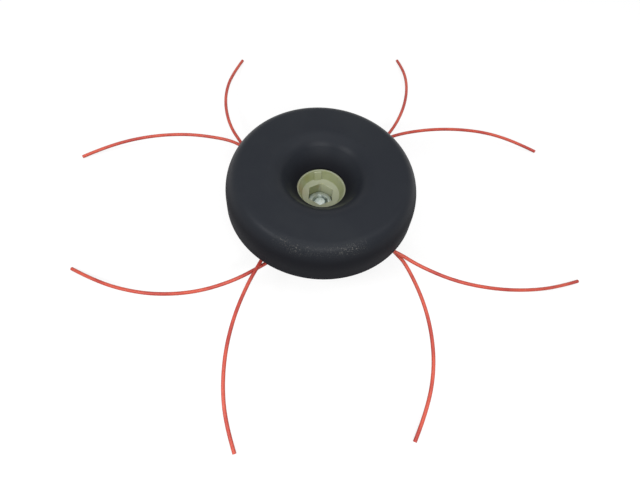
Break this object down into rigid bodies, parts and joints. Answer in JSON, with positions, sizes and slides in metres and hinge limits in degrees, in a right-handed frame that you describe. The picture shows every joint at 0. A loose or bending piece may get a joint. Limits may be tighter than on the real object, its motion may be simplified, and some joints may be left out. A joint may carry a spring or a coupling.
{
  "type": "trimmer head",
  "caption": "Fixed-line cutting head for a grass trimmer: a rounded glide dome over a line drum, curled line ends fanned out all round, and a nut down in a moulded hub.",
  "frame": {"origin": "centre of the skirt's resting face on the gearbox side, on the spin axis, with the line left out", "axes": "+Z along the spin axis, out of the glide dome; the exits of the line lie on the diagonals of X and Y"},
  "size_m": [0.3932, 0.3664, 0.064],
  "materials": {
    "dome_moulding": "satin moulded nylon, blue-black, lightly scuffed",
    "drum_moulding": "matt moulded nylon, black",
    "natural_nylon": "uncoloured moulded nylon, cream with an olive cast",
    "zinc_steel": "bright zinc plate",
    "cutting_line": "extruded nylon line, orange-red, slightly clear"
  },
  "bodies": {
    "root": {"glide_dome": "dome_moulding", "line_drum": "drum_moulding", "line_hub": "natural_nylon", "arbor_stud": "zinc_steel", "thrust_washer": "zinc_steel", "hub_nut": "zinc_steel", "drum_screws": "zinc_steel", "exit_eyelet_1": "zinc_steel", "exit_eyelet_2": "zinc_steel", "exit_eyelet_3": "zinc_steel", "exit_eyelet_4": "zinc_steel", "exit_eyelet_5": "zinc_steel", "exit_eyelet_6": "zinc_steel", "exit_eyelet_7": "zinc_steel", "exit_eyelet_8": "zinc_steel", "line_loop_1": "cutting_line", "line_loop_2": "cutting_line", "line_loop_3": "cutting_line", "line_loop_4": "cutting_line", "line_end_1a": "cutting_line", "line_end_1b": "cutting_line", "line_end_2a": "cutting_line", "line_end_2b": "cutting_line", "line_end_3a": "cutting_line", "line_end_3b": "cutting_line", "line_end_4a": "cutting_line", "line_end_4b": "cutting_line"}
  },
  "joints": []
}
